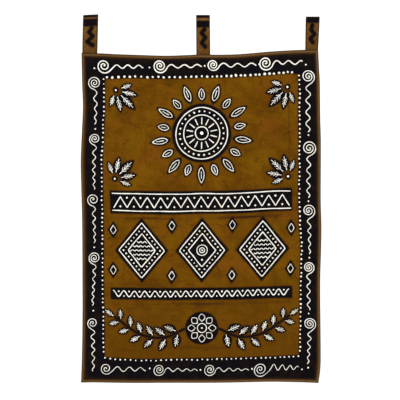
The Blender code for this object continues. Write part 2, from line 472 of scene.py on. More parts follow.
def normals_of(line, closed):
    """Unit normals to the left of each point's way along the line."""
    if closed:
        way = np.roll(line, -1, axis=0) - np.roll(line, 1, axis=0)
    else:
        way = np.gradient(line, axis=0)
    way /= np.maximum(np.hypot(*way.T)[:, None], 1e-12)
    return np.stack((-way[:, 1], way[:, 0]), -1)


def loops_of(mark, grow):
    """The closed outlines of a mark that is made wider on each side by grow."""
    line = mark.line
    normals = normals_of(line, mark.closed)
    if mark.closed:
        turned = np.roll(line, -1, axis=0)
        doubled_area = np.sum(line[:, 0] * turned[:, 1] - turned[:, 0] * line[:, 1])
        outwards = -normals if doubled_area > 0 else normals
        if not mark.half:
            return [line + outwards * grow]
        return [line + outwards * (mark.half + grow), line - outwards * (mark.half + grow)]
    reach = mark.half + grow
    left, right = line + normals * reach, line - normals * reach
    caps = []
    for end, normal, sense in ((line[-1], normals[-1], -1), (line[0], -normals[0], -1)):
        for angle in (45, 90, 135):
            turn = math.radians(angle) * sense
            cos, sin = math.cos(turn), math.sin(turn)
            spun = np.array((normal[0] * cos - normal[1] * sin, normal[0] * sin + normal[1] * cos))
            caps.append(end + spun * reach)
    return [np.concatenate((left, caps[:3], right[::-1], caps[3:]))]


def distance_to(points, line, closed):
    """From each point to the nearest place on the line."""
    start = line if closed else line[:-1]
    way = (np.roll(line, -1, axis=0) - line) if closed else np.diff(line, axis=0)
    squares = np.maximum((way**2).sum(1), 1e-18)
    rel = points[:, None, :] - start[None]
    share = np.clip((rel * way[None]).sum(2) / squares, 0, 1)
    return np.hypot(*np.moveaxis(rel - share[..., None] * way[None], 2, 0)).min(1)


def is_inside(points, outline):
    x, y = points[:, :1], points[:, 1:]
    x0, y0 = outline[:, 0], outline[:, 1]
    x1, y1 = np.roll(x0, -1), np.roll(y0, -1)
    spans = (y0 > y) != (y1 > y)
    slope = (x1 - x0) / np.where(y1 == y0, 1e-12, y1 - y0)
    return (spans & (x < x0 + slope * (y - y0))).sum(1) % 2 == 1


CHUNK = 4000


def signed_distances(points, marks):
    """How far each point lies outside the marks, negative inside them, up to REACH."""
    told = np.full(len(points), REACH)
    for mark in marks:
        low = mark.line.min(0) - mark.half - REACH
        high = mark.line.max(0) + mark.half + REACH
        near = np.flatnonzero(((points >= low) & (points <= high)).all(1))
        for first in range(0, len(near), CHUNK):
            part = near[first : first + CHUNK]
            away = distance_to(points[part], mark.line, mark.closed) - mark.half
            if mark.closed and not mark.half:
                away = np.where(is_inside(points[part], mark.line), -away, away)
            told[part] = np.maximum(told[part], -away) if mark.cut else np.minimum(told[part], away)
    return np.clip(told, -REACH, REACH)


def stained(points, stains):
    """How strongly each point is stained, from 0 to 1."""
    clean = np.ones(len(points))
    for across, down, half_across, half_down, strength in stains:
        away = ((points[:, 0] - across) / half_across) ** 2 + ((points[:, 1] - down) / half_down) ** 2
        clean *= 1 - strength * np.exp(-(away**1.5))
    return 1 - clean


def frame_loop(inset, size, counts, top_share):
    """The points of a rectangle this far inside the cloth's edge, from its top left corner."""
    width, height = size
    right, top, bottom = width - inset, inset / top_share, height - inset
    corners = np.array(((inset, top), (right, top), (right, bottom), (inset, bottom)))
    sides = []
    for k in range(4):
        shares = np.arange(counts[k % 2])[:, None] / counts[k % 2]
        sides.append(mixed(corners[k], corners[(k + 1) % 4], shares))
    return np.concatenate(sides)


def inset_at(places, size, top_share):
    """How far in from its nearest edge each flat place lies, as the hem's profile counts it."""
    across, down = places[:, 0], places[:, 1]
    aside = np.minimum(across, size[0] - across)
    return np.minimum(aside, np.minimum(down * top_share, size[1] - down))


def cloth_mesh(name, size, design, hang_at, front, back, station, grid, top_share=1.0):
    """A dyed cloth with turned edges: its painted face, then the roll and the turned-in part.

    The marks' outlines are edges of the mesh, and their distances go with its points, so that the
    dye's edge stays sharp. The cloth's flat places are kept for the weave and the stains.
    """
    width, height = size
    counts = [max(2, round(side / station)) for side in size]
    edge = frame_loop(0, size, counts, top_share)
    points, edges = [edge], [np.stack((np.arange(len(edge)), np.roll(np.arange(len(edge)), -1)), -1)]
    total = len(edge)
    for layer, soft in ((design.dark, DARK_EDGE), (design.wax, WAX_EDGE)):
        for mark in layer:
            for grow in (-soft / 2, soft / 2):
                for loop in loops_of(mark, grow):
                    loop = np.clip(loop, LEAST_INSET, np.array(size) - LEAST_INSET)
                    index = total + np.arange(len(loop))
                    points.append(loop)
                    edges.append(np.stack((index, np.roll(index, -1)), -1))
                    total += len(loop)
    insets = [row.inset * MM for row in front[1:]]
    spare = [frame_loop(inset, size, counts, top_share) for inset in insets]
    rows = np.arange(insets[-1] + grid[1], height - insets[-1] - grid[1] / 2, grid[1])
    columns = np.arange(insets[-1] + grid[0], width - insets[-1] - grid[0] / 2, grid[0])
    lattice = np.stack(np.meshgrid(columns, rows), -1)
    lattice[1::2, :, 0] += grid[0] / 2
    spare.append(lattice.reshape(-1, 2))
    spare = np.concatenate(spare)
    spare = spare[spare[:, 0] < width - insets[0] / 2]
    for marks in (design.dark, design.wax):
        away = np.abs(signed_distances(spare, marks))
        spare = spare[away > CLEAR_OF_MARKS]
    points.append(spare)
    given = [Vector(point) for point in np.concatenate(points)]
    pairs = [tuple(int(i) for i in pair) for pair in np.concatenate(edges)]
    made, _, faces, came_from, _, _ = delaunay_2d_cdt(given, pairs, [], 0, 1e-7)
    flat = np.array([tuple(point) for point in made])
    place_of = {}
    for index, sources in enumerate(came_from):
        for source in sources:
            place_of[source] = index
    to_edge = inset_at(flat, size, top_share)
    hung = hang_at(flat[:, 0], flat[:, 1], along(front, to_edge / MM) * MM)
    faces = [tuple(reversed(face)) for face in faces]

    ring = [place_of[i] for i in range(len(edge))]
    parts_hung, parts_flat, parts_edge = [hung], [flat], [to_edge]
    run, last = 0.0, Profile(0.0, front[0].out)
    total = len(flat)
    for row in back:
        run += math.hypot(row.inset - last.inset, row.out - last.out) * MM
        last = row
        loop = frame_loop(row.inset * MM, size, counts, top_share)
        parts_hung.append(hang_at(loop[:, 0], loop[:, 1], row.out * MM))
        parts_flat.append(frame_loop(-run, size, counts, 1.0))
        parts_edge.append(np.full(len(loop), -run))
        new = list(range(total, total + len(loop)))
        for i in range(len(loop)):
            j = (i + 1) % len(loop)
            faces.append((ring[i], ring[j], new[j], new[i]))
        ring, total = new, total + len(loop)
    hung, flat = np.concatenate(parts_hung), np.concatenate(parts_flat)

    mesh = bpy.data.meshes.new(name)
    mesh.from_pydata(hung.tolist(), [], faces)
    values = {
        "dark": signed_distances(flat, design.dark) / MM,
        "wax": signed_distances(flat, design.wax) / MM,
        "stain": stained(flat, design.stains),
        "inset": np.concatenate(parts_edge) / MM,
    }
    for label, numbers in values.items():
        mesh.attributes.new(label, "FLOAT", "POINT").data.foreach_set("value", numbers.astype(np.float32))
    corners = np.zeros(len(mesh.loops), np.int32)
    mesh.loops.foreach_get("vertex_index", corners)
    spread = (flat + run) / (max(size) + 2 * run)
    for label, places in (("Cloth", flat), ("OFBake", spread)):
        layer = mesh.uv_layers.new(name=label)
        layer.data.foreach_set("uv", places[corners].astype(np.float32).ravel())
    mesh.shade_smooth()
    made = bpy.data.objects.new(name, mesh)
    bpy.context.scene.collection.objects.link(made)
    print(name, len(mesh.vertices), "points", len(mesh.polygons), "faces")
    return made


# The border's curls, in flat millimetres: where the spiral's middle is, its radius and its turns,
# how far on the tail's first hump and its end lie, its waves' lengths and swings at its start and
# at its end, how far it drifts to the side, how far on the single dot lies, the line's width, and
# how far aside the waves start
Curl = namedtuple(
    "Curl",
    "across down radius turns hump end wave last_wave swing last_swing drift dot width level",
    defaults=(0.0,),
)
TOP_CURLS = (
    Curl(52.9, 30.0, 17.0, 2.10, 31, 94, 27.5, 25.0, 4.2, 3.6, -2.5, 110, 2.4),
    Curl(187.8, 25.2, 16.2, 2.45, 28, 100, 31.5, 30.0, 4.0, 3.2, 2.0, 108, 2.5),
    Curl(315.6, 24.8, 13.6, 2.30, 26, 103, 33.5, 33.0, 4.6, 4.2, 3.0, 111, 2.4),
    Curl(442.3, 26.7, 16.8, 2.25, 27, 88, 28.0, 30.0, 4.4, 4.2, 3.0, 0, 2.5),
)
LEFT_CURLS = (
    Curl(30.0, 70.5, 15.2, 2.40, 24, 98, 29.0, 17.0, 4.6, 1.8, -1.0, 110, 1.9),
    Curl(31.6, 204.7, 13.1, 2.20, 21, 119, 24.0, 15.0, 4.2, 2.0, 1.5, 0, 1.8),
    Curl(27.8, 349.7, 14.2, 1.90, 22, 102, 24.0, 14.0, 4.2, 1.6, -1.5, 113, 1.8),
    Curl(29.1, 487.9, 14.3, 2.40, 22, 113, 20.0, 15.0, 3.8, 2.0, 5.0, 126, 1.7),
    Curl(24.6, 643.6, 13.0, 1.90, 22, 114, 22.0, 18.0, 4.8, 2.4, -4.0, 0, 1.8),
)
RIGHT_CURLS = (
    Curl(542.1, 62.9, 15.9, 2.45, 28, 130, 29.0, 26.0, 5.6, 4.6, -2.0, 138, 2.2),
    Curl(541.6, 231.1, 16.9, 2.50, 27, 117, 27.0, 22.0, 5.0, 3.6, -1.5, 126, 2.1),
    Curl(540.9, 379.4, 15.0, 2.40, 25, 101, 24.0, 17.0, 4.4, 1.8, 2.0, 111, 2.0),
    Curl(541.9, 513.3, 13.5, 2.45, 22, 100, 24.0, 20.0, 4.4, 3.2, 0.5, 109, 2.0),
    Curl(544.1, 646.9, 14.9, 2.60, 25, 93, 21.0, 15.0, 4.6, 1.8, -4.0, 103, 1.9),
)
BOTTOM_CURLS = (
    Curl(59.0, 751.3, 14.6, 1.90, 27, 94, 31.0, 23.0, 6.0, 3.8, -0.5, 104, 1.8, level=1.2),
    Curl(185.1, 753.7, 14.4, 2.30, 22, 92, 25.0, 17.0, 4.4, 2.0, 0.5, 99, 1.7),
    Curl(305.9, 754.0, 14.4, 2.25, 22, 93, 27.0, 16.0, 5.2, 1.6, 0.5, 101, 1.8),
    Curl(427.4, 755.4, 16.9, 2.40, 31, 90, 22.0, 16.0, 7.8, 3.8, 0.0, 99, 1.8, level=-4.5),
)
LONE_DOTS = ((30.1, 35.9), (538.7, 35.0))
RIGHTWARDS, DOWNWARDS = (1, 0), (0, 1)
RUNS = (
    (TOP_CURLS, RIGHTWARDS, (0, 1), 1.05),
    (LEFT_CURLS, DOWNWARDS, (-1, 0), 0.90),
    (RIGHT_CURLS, DOWNWARDS, (1, 0), 0.95),
    (BOTTOM_CURLS, RIGHTWARDS, (0, 1), 0.82),
)
SPIRAL_EXIT = math.radians(42)
SPIRAL_START = 0.8 * MM
SPIRAL_OPENING = 1.0
SPIRAL_LEAN = 1.6 * MM
LONE_DOT = 1.9 * MM

# The row of dots between the border and the middle, in flat millimetres
DotRow = namedtuple("DotRow", "points first_pitch last_pitch radius")
DOT_ROWS = (
    DotRow(
        points=((59, 57), (110, 53), (159, 51.8), (288, 52.2), (372, 51.1), (432, 52.6), (495, 51.9), (512, 53)),
        first_pitch=14.2,
        last_pitch=10.6,
        radius=2.75,
    ),
    DotRow(
        points=((51.6, 62), (49.6, 200), (48.1, 414), (48.2, 545), (51, 719)),
        first_pitch=10.8,
        last_pitch=10.6,
        radius=1.78,
    ),
    DotRow(
        points=((521, 60), (520.9, 125), (519.7, 217), (519.2, 400), (523.6, 482), (522.7, 620), (520.8, 716)),
        first_pitch=10.5,
        last_pitch=10.2,
        radius=2.05,
    ),
    DotRow(
        points=((56, 727), (110, 730), (163, 731), (244, 729.8), (325, 728.6), (440, 728.0), (520, 723.8)),
        first_pitch=12.2,
        last_pitch=11.2,
        radius=1.82,
    ),
)
DOT_SHIFT = 0.55 * MM
DOT_SPREAD = 0.13

# The black border band: from the hem to just past the row of dots
BAND_OUTER = (
    ((8.4, 9.2), (200, 8.9), (400, 9.4), (561, 9.6)),
    ((561, 9.6), (560.6, 300), (561.2, 560), (560.4, 777)),
    ((560.4, 777), (380, 777.4), (190, 776.8), (8.6, 777)),
    ((8.6, 777), (8.2, 520), (8.8, 260), (8.4, 9.2)),
)
BAND_INNER = (
    ((54.6, 60), (110, 56.2), (159, 55.0), (288, 55.4), (372, 54.3), (432, 55.8), (495, 55.1), (518, 57)),
    ((518, 57), (517.8, 125), (516.6, 217), (516.1, 400), (520.5, 482), (519.6, 620), (517.6, 721)),
    ((517.6, 721), (440, 724.8), (325, 725.4), (244, 726.6), (163, 727.8), (110, 726.8), (54.4, 724)),
    ((54.4, 724), (51.2, 545), (51.1, 414), (52.6, 200), (54.6, 60)),
)
BAND_STEP = 7 * MM


def curl_line(curl, heading, exit_side, lean):
    """A spiral from its middle outwards, which leaves on exit_side and waves along heading."""
    ahead, aside = np.array(heading, float), np.array(exit_side, float)
    radius = curl.radius * MM - SPIRAL_START
    turn = np.linspace(0, 1, 90)
    angle = SPIRAL_EXIT + math.tau * curl.turns * (1 - turn)
    reach = SPIRAL_START + radius * turn**SPIRAL_OPENING
    local = np.stack((reach * np.cos(angle), reach * np.sin(angle)), -1)
    local += (1 - turn[:, None]) * np.array(lean)
    place = np.linspace(curl.hump - curl.wave * 0.2, curl.end, 90)
    share = (place - place[0]) / (place[-1] - place[0])
    wave = mixed(curl.wave, curl.last_wave, share)
    steps = np.diff(place) * 2 / (wave[1:] + wave[:-1])
    turns = np.concatenate(((0.0,), np.cumsum(steps))) - 0.2
    swing = mixed(curl.swing, curl.last_swing, share)
    offset = curl.level + curl.drift * share - swing * np.cos(math.tau * turns)
    tail = np.stack((place, offset), -1) * MM
    link = bridge(local, tail)
    local = np.concatenate((local, link, tail))
    middle = np.array((curl.across, curl.down)) * MM
    return middle + local[:, :1] * ahead + local[:, 1:] * aside


def bridge(first, second, count=12):
    """Points of a smooth curve from the end of one line to the start of another."""
    start, end = first[-1], second[0]
    gap = np.hypot(*(end - start))
    leave = (first[-1] - first[-2]) / np.hypot(*(first[-1] - first[-2]))
    arrive = (second[1] - second[0]) / np.hypot(*(second[1] - second[0]))
    near_start, near_end = start + leave * gap * 0.4, end - arrive * gap * 0.4
    t = np.linspace(0, 1, count + 2)[1:-1, None]
    rising = start * (1 - t) ** 3 + 3 * near_start * t * (1 - t) ** 2
    return rising + 3 * near_end * t**2 * (1 - t) + end * t**3


CURL_STEP = 1.5 * MM


def draw_border(design):
    for sides, cut in ((BAND_OUTER, False), (BAND_INNER, True)):
        outline = [curved(np.array(side) * MM, BAND_STEP)[:-1] for side in sides]
        outline = design.uneven(np.concatenate(outline), 0.35 * MM, closed=True)
        design.area(design.dark, outline, cut)
    for curls, heading, exit_side, girth in RUNS:
        for curl in curls:
            lean = [design.rng.uniform(-SPIRAL_LEAN, SPIRAL_LEAN) for _ in range(2)]
            line = resampled(curl_line(curl, heading, exit_side, lean), CURL_STEP)
            design.stroke(design.wax, design.uneven(line, 0.35 * MM), curl.width * girth * MM)
            if curl.dot:
                side = curl.drift * 0.8 + design.rng.uniform(-1, 1)
                ahead = np.array(heading) * curl.dot + np.array(exit_side) * side
                place = (np.array((curl.across, curl.down)) + ahead) * MM
                design.dot(design.wax, *place, LONE_DOT)
    for place in LONE_DOTS:
        design.dot(design.wax, *(number * MM for number in place), LONE_DOT)
    for row in DOT_ROWS:
        line = curved(np.array(row.points) * MM, MM)
        run, length = 0.0, MM * (len(line) - 1)
        while run <= length:
            place = line[min(len(line) - 1, round(run / MM))]
            shift = [design.rng.gauss(0, DOT_SHIFT) for _ in range(2)]
            radius = row.radius * MM * (1 + design.rng.gauss(0, DOT_SPREAD) * 0.7)
            design.dot(design.wax, *(place + shift), radius)
            run += mixed(row.first_pitch, row.last_pitch, run / length) * MM * design.rng.uniform(0.93, 1.07)


# The middle's ornament, in flat millimetres
SUN_PLACE = (286, 188)
SUN_DISC = 70
SUN_RAYS = 18
SUN_RAY_FROM, SUN_RAY_LONG, SUN_RAY_SHORT = 75, 126, 111
SUN_RAY_HALF = 11
BELT_TOP, BELT_BOTTOM = 326, 380
BELT_LEFT, BELT_RIGHT = 68, 502
BELT_TEETH = 13
LOZENGE_ROW = 468
LOZENGE_PLACES = (142, 286, 430)
LOZENGE_HALF = (63, 77)
SPACER_PLACES = ((74, 420), (214, 408), (358, 408), (498, 420), (74, 516), (214, 528), (358, 528), (498, 516))
SPACER_HALF = (13, 20)
WAVE_BELT_TOP, WAVE_BELT_BOTTOM = 558, 586
WAVE_BELT_TURNS = 17
SPRIGS = ((80, 86, 45), (492, 86, 135), (80, 298, -45), (492, 298, -135))
SPRIG_LEAVES = ((-66, 44), (-33, 55), (0, 65), (33, 55), (66, 44))
SPRIG_ROOT = 12
FLOWER_PLACE = (286, 654)
FLOWER_RADIUS = 39
FLOWER_PETALS = 8
BRANCHES = (
    ((244, 656), (196, 676), (138, 668), (78, 628)),
    ((328, 656), (376, 676), (434, 668), (494, 628)),
)
BRANCH_LEAF_GAP = 30
BRANCH_LEAF = 42
LINE_WIDTH = 2.3 * MM
FINE_WIDTH = 1.8 * MM
LEAF_WIDTH = 1.6 * MM
VEIN_WIDTH = 1.1 * MM
VEIN_PLACES = (0.28, 0.43, 0.58)
BEAD = 1.9 * MM


def at_angle(place, angle, reach):
    """Reach millimetres from a place, at an angle in degrees clockwise from the right."""
    turn = math.radians(angle)
    return (place[0] + reach * math.cos(turn), place[1] + reach * math.sin(turn))


def draw_leaf(design, root, tip, half, veined):
    """A dark leaf, in flat millimetres, with a waxed rib and either veins or a line round it."""
    root, tip = np.array(root, float), np.array(tip, float)
    way = tip - root
    length = np.hypot(*way)
    aside = np.array((-way[1], way[0])) / length

    def leaf_line(first, last, swell):
        share = np.linspace(0, 1, max(7, round(length / 4)))[:, None]
        along_leaf = root + way * mixed(first, last, share)
        spread = aside * half * swell * np.sin(share**0.85 * math.pi) ** 0.8
        return np.concatenate((along_leaf + spread, (along_leaf - spread)[-2:0:-1])) * MM

    design.area(design.dark, design.uneven(leaf_line(0.0, 1.0, 1.0), 0.4 * MM, closed=True))
    if not veined:
        line = design.uneven(leaf_line(0.14, 0.87, 0.60), 0.25 * MM, closed=True)
        design.stroke(design.wax, line, LEAF_WIDTH, closed=True)
    ends = (0.10, 0.84) if veined else (0.34, 0.66)
    rib = resampled(np.array([root + way * share for share in ends]) * MM, 3.5 * MM)
    design.stroke(design.wax, design.uneven(rib, 0.3 * MM), LEAF_WIDTH)
    if veined:
        for share in VEIN_PLACES:
            for side in (-1, 1):
                start = root + way * share + aside * side * LEAF_WIDTH / MM
                end = start + way * 0.12 + aside * side * half * (0.42 - share * 0.30)
                design.stroke(design.wax, np.array((start, end)) * MM, VEIN_WIDTH)


def draw_sun(design):
    middle = np.array(SUN_PLACE) * MM
    disc = circle(*middle, SUN_DISC * MM, 4 * MM)
    design.area(design.dark, design.uneven(disc, 0.9 * MM, closed=True))
    for radius in (0.88, 0.62, 0.22):
        ring = circle(*middle, SUN_DISC * radius * MM, 3.2 * MM)
        design.stroke(design.wax, design.uneven(ring, 0.5 * MM, closed=True), LINE_WIDTH, closed=True)
    beads = 26
    for i in range(beads):
        place = at_angle(SUN_PLACE, 360 * i / beads, SUN_DISC * 0.75)
        design.dot(design.wax, place[0] * MM, place[1] * MM, BEAD * design.rng.uniform(0.9, 1.25))
    spokes = 14
    for i in range(spokes):
        angle = 360 * (i + 0.5) / spokes
        ends = [at_angle(SUN_PLACE, angle, SUN_DISC * r) for r in (0.32, 0.52)]
        design.stroke(design.wax, np.array(ends) * MM, LINE_WIDTH)
    design.dot(design.wax, *middle, 2.2 * BEAD)
    for i in range(SUN_RAYS):
        angle = 360 * i / SUN_RAYS + 10
        reach = SUN_RAY_SHORT if i % 2 else SUN_RAY_LONG
        root, tip = at_angle(SUN_PLACE, angle, SUN_RAY_FROM), at_angle(SUN_PLACE, angle, reach)
        draw_leaf(design, root, tip, SUN_RAY_HALF, veined=False)


def draw_belt(design):
    """A dark belt with two lines, a zigzag between them and a bead in each tooth."""
    corners = ((BELT_LEFT, BELT_TOP), (BELT_RIGHT, BELT_TOP), (BELT_RIGHT, BELT_BOTTOM), (BELT_LEFT, BELT_BOTTOM))
    closed = np.array(corners + corners[:1]) * MM
    design.area(design.dark, design.uneven(resampled(closed, 6 * MM)[:-1], 1.0 * MM, closed=True))
    for down in (BELT_TOP + 6.5, BELT_BOTTOM - 6.5):
        line = resampled(np.array(((BELT_LEFT + 5, down), (BELT_RIGHT - 5, down))) * MM, 6 * MM)
        design.stroke(design.wax, design.uneven(line, 0.7 * MM), LINE_WIDTH)
    pitch = (BELT_RIGHT - BELT_LEFT - 16) / BELT_TEETH
    high, low = BELT_TOP + 14, BELT_BOTTOM - 14
    teeth = [(BELT_LEFT + 8 + pitch * i / 2, (low, high)[i % 2]) for i in range(2 * BELT_TEETH + 1)]
    line = resampled(np.array(teeth) * MM, 2.8 * MM)
    design.stroke(design.wax, design.uneven(line, 0.5 * MM), LINE_WIDTH)
    for i in range(1, 2 * BELT_TEETH):
        down = (low - 2.5, high + 2.5)[(i + 1) % 2]
        design.dot(design.wax, (BELT_LEFT + 8 + pitch * i / 2) * MM, down * MM, BEAD * design.rng.uniform(1.0, 1.3))


def draw_wave_belt(design):
    """A narrow dark belt with a wavy line and a bead in each bend."""
    half = (WAVE_BELT_BOTTOM - WAVE_BELT_TOP) / 2
    middle = WAVE_BELT_TOP + half
    corners = [(side, down) for side, down in (
        (BELT_LEFT, WAVE_BELT_TOP),
        (BELT_RIGHT, WAVE_BELT_TOP),
        (BELT_RIGHT, WAVE_BELT_BOTTOM),
        (BELT_LEFT, WAVE_BELT_BOTTOM),
        (BELT_LEFT, WAVE_BELT_TOP),
    )]
    design.area(design.dark, design.uneven(resampled(np.array(corners) * MM, 6 * MM)[:-1], 0.9 * MM, closed=True))
    first, last = BELT_LEFT + 7, BELT_RIGHT - 7
    places = np.linspace(first, last, 12 * WAVE_BELT_TURNS + 1)
    turns = (places - first) / (last - first) * WAVE_BELT_TURNS
    line = np.stack((places, middle - (half - 7) * np.cos(math.tau * turns)), -1)
    design.stroke(design.wax, design.uneven(resampled(line * MM, 2.4 * MM), 0.5 * MM), LINE_WIDTH)
    for i in range(1, 2 * WAVE_BELT_TURNS):
        place = mixed(first, last, i / 2 / WAVE_BELT_TURNS)
        down = middle + (half - 8.5) * (-1, 1)[(i + 1) % 2]
        design.dot(design.wax, place * MM, down * MM, BEAD * design.rng.uniform(0.85, 1.15))


def lozenge(across, down, half, share):
    """The four corners of a lozenge, a share of its full size, closed."""
    a, d = half[0] * share, half[1] * share
    return np.array(((across, down - d), (across + a, down), (across, down + d), (across - a, down), (across, down - d)))


def draw_lozenge(design, across, down):
    outline = resampled(lozenge(across, down, LOZENGE_HALF, 1) * MM, 5 * MM)[:-1]
    design.area(design.dark, design.uneven(outline, 0.8 * MM, closed=True))
    for share in (0.86, 0.52):
        line = resampled(lozenge(across, down, LOZENGE_HALF, share) * MM, 3.6 * MM)[:-1]
        design.stroke(design.wax, design.uneven(line, 0.5 * MM, closed=True), LINE_WIDTH, closed=True)
    beads = 7
    corners = lozenge(across, down, LOZENGE_HALF, 0.69)
    for k in range(4):
        for i in range(beads):
            place = mixed(corners[k], corners[k + 1], i / beads) * MM
            design.dot(design.wax, *place, BEAD * design.rng.uniform(0.8, 1.1))
    if across == SUN_PLACE[0]:
        for radius in (6, 12.5):
            ring = circle(across * MM, down * MM, radius * MM, 2.2 * MM)
            design.stroke(design.wax, design.uneven(ring, 0.3 * MM, closed=True), FINE_WIDTH, closed=True)
        design.dot(design.wax, across * MM, down * MM, BEAD)
        for end in (-1, 1):
            design.dot(design.wax, across * MM, (down + 23 * end) * MM, BEAD * 1.2)
        return
    for offset in (-20, -10, 0, 10, 20):
        half = LOZENGE_HALF[0] * 0.52 * (1 - abs(offset) / (LOZENGE_HALF[1] * 0.52)) - 5
        places = np.linspace(-half, half, 24)
        waves = offset + 1.8 * np.sin(math.tau * places / 9.5)
        line = np.stack((across + places, down + waves), -1) * MM
        design.stroke(design.wax, resampled(line, 1.8 * MM), FINE_WIDTH)


def draw_spacer(design, across, down):
    outline = resampled(lozenge(across, down, SPACER_HALF, 1) * MM, 4 * MM)[:-1]
    design.area(design.dark, design.uneven(outline, 0.6 * MM, closed=True))
    line = resampled(lozenge(across, down, SPACER_HALF, 0.55) * MM, 3 * MM)[:-1]
    design.stroke(design.wax, line, FINE_WIDTH * 0.8, closed=True)


def draw_flower(design):
    middle = np.array(FLOWER_PLACE) * MM
    disc = circle(*middle, FLOWER_RADIUS * MM, 4 * MM)
    design.area(design.dark, design.uneven(disc, 0.7 * MM, closed=True))
    ring = circle(*middle, FLOWER_RADIUS * 0.28 * MM, 2.4 * MM)
    design.stroke(design.wax, ring, FINE_WIDTH, closed=True)
    design.dot(design.wax, *middle, BEAD)
    for i in range(FLOWER_PETALS):
        angle = 360 * i / FLOWER_PETALS
        petal = [
            at_angle(FLOWER_PLACE, angle, FLOWER_RADIUS * 0.40),
            at_angle(FLOWER_PLACE, angle - 17, FLOWER_RADIUS * 0.66),
            at_angle(FLOWER_PLACE, angle, FLOWER_RADIUS * 0.86),
            at_angle(FLOWER_PLACE, angle + 17, FLOWER_RADIUS * 0.66),
            at_angle(FLOWER_PLACE, angle, FLOWER_RADIUS * 0.40),
        ]
        design.stroke(design.wax, curved(np.array(petal) * MM, 2.4 * MM)[:-1], FINE_WIDTH * 0.8, closed=True)


def draw_branch(design, points):
    """A bowed stem with pairs of leaves."""
    stem = curved(np.array(points) * MM, 4 * MM)
    design.stroke(design.dark, stem, 5 * MM)
    run = np.concatenate(((0.0,), np.cumsum(np.hypot(*np.diff(stem, axis=0).T))))
    place = 16 * MM
    while place < run[-1] - 4 * MM:
        root = np.array([np.interp(place, run, stem[:, axis]) for axis in (0, 1)])
        ahead = np.array([np.interp(place + 4 * MM, run, stem[:, axis]) for axis in (0, 1)]) - root
        heading = math.degrees(math.atan2(ahead[1], ahead[0]))
        length = BRANCH_LEAF * mixed(1.0, 0.72, place / run[-1])
        for side in (-1, 1):
            first = at_angle(root / MM, heading + 50 * side, 4.5)
            draw_leaf(design, first, at_angle(root / MM, heading + 50 * side, length), length * 0.26, True)
        place += BRANCH_LEAF_GAP * MM
    end = stem[-1] / MM
    heading = math.degrees(math.atan2(*(stem[-1] - stem[-3])[::-1]))
    draw_leaf(design, at_angle(end, heading, 2), at_angle(end, heading, 32), 7.5, True)


def draw_middle(design):
    draw_sun(design)
    for across, down, heading in SPRIGS:
        for lean, length in SPRIG_LEAVES:
            root = at_angle((across, down), heading + lean, SPRIG_ROOT)
            draw_leaf(design, root, at_angle((across, down), heading + lean, length), length * 0.18, True)
        design.dot(design.dark, across * MM, down * MM, 7 * MM)
        design.dot(design.wax, across * MM, down * MM, 1.3 * BEAD)
    draw_belt(design)
    draw_wave_belt(design)
    for across in LOZENGE_PLACES:
        draw_lozenge(design, across, LOZENGE_ROW)
    for across, down in SPACER_PLACES:
        draw_spacer(design, across, down)
    draw_flower(design)
    for points in BRANCHES:
        draw_branch(design, points)


# Where brown-black dye was brushed on dry, in flat millimetres
Stain = namedtuple("Stain", "across down half_across half_down strength")
STAINS = (
    Stain(across=150, down=391, half_across=85, half_down=5, strength=0.7),
    Stain(across=395, down=390, half_across=110, half_down=6, strength=0.75),
    Stain(across=430, down=319, half_across=70, half_down=3.5, strength=0.5),
    Stain(across=140, down=549, half_across=60, half_down=4, strength=0.5),
    Stain(across=290, down=597, half_across=90, half_down=6, strength=0.7),
    Stain(across=440, down=595, half_across=62, half_down=5, strength=0.6),
    Stain(across=286, down=701, half_across=95, half_down=6, strength=0.55),
    Stain(across=120, down=708, half_across=60, half_down=5, strength=0.35),
)


def panel_design():
    design = Design(SEED)
    draw_border(design)
    draw_middle(design)
    for stain in STAINS:
        design.stain(*(number * MM for number in stain[:4]), stain.strength)
    return design


# The paint on each tab, in millimetres below the fold's top: the dark line at the fold, the black
# band, and the zigzag's corners as sideways places from the tab's middle and heights
TabPaint = namedtuple("TabPaint", "line_end band_start band_end zigzag")
TAB_PAINT = {
    "tab_left": TabPaint(
        line_end=6.6,
        band_start=11.5,
        band_end=28.0,
        zigzag=((3.9, 32.5), (-2.8, 42), (6.6, 52), (-6.4, 65.5), (6.8, 73.5)),
    ),
    "tab_middle": TabPaint(
        line_end=7.2,
        band_start=15.2,
        band_end=29.8,
        zigzag=((3.4, 34.5), (-3.6, 43.5), (5.6, 54.5), (-3.4, 67.5), (4.4, 76.5)),
    ),
    "tab_right": TabPaint(
        line_end=0.0,
        band_start=0.6,
        band_end=15.6,
        zigzag=((-0.6, 21.5), (-3.2, 32.5), (5.0, 42.5), (-4.2, 53.5), (1.8, 62)),
    ),
}
ZIGZAG_WIDTH = 8.4 * MM
ZIGZAG_BLOT = 4.6 * MM


def tab_design(strip, paint, seed):
    design = Design(seed)
    width, spare = strip.width, 0.3 * MM

    def belt(start, end):
        corners = ((spare, start), (width - spare, start), (width - spare, end), (spare, end), (spare, start))
        outline = resampled(np.array(corners), 3.5 * MM)[:-1]
        design.area(design.dark, design.uneven(outline, 0.25 * MM, closed=True))

    belt(strip.below_fold(paint.band_end * MM), strip.below_fold(paint.band_start * MM))
    if paint.line_end:
        start = strip.below_fold(paint.line_end * MM)
        belt(start, strip.length - start)
    corners = [(width / 2 + side * MM, strip.below_fold(down * MM)) for side, down in paint.zigzag]
    design.stroke(design.dark, design.uneven(resampled(corners, 2.5 * MM), 0.5 * MM), ZIGZAG_WIDTH)
    for place in corners:
        design.dot(design.dark, *place, ZIGZAG_BLOT)
    back_band = (strip.length - strip.below_fold(40 * MM), strip.length - strip.below_fold(24 * MM))
    belt(min(back_band), max(back_band))
    # A paler patch just below the fold, laid on through the same channel as the stains
    pale = strip.below_fold((paint.line_end + paint.band_start) / 2 * MM)
    design.stain(width / 2, pale, width * 0.7, 4.5 * MM, 0.6)
    return design


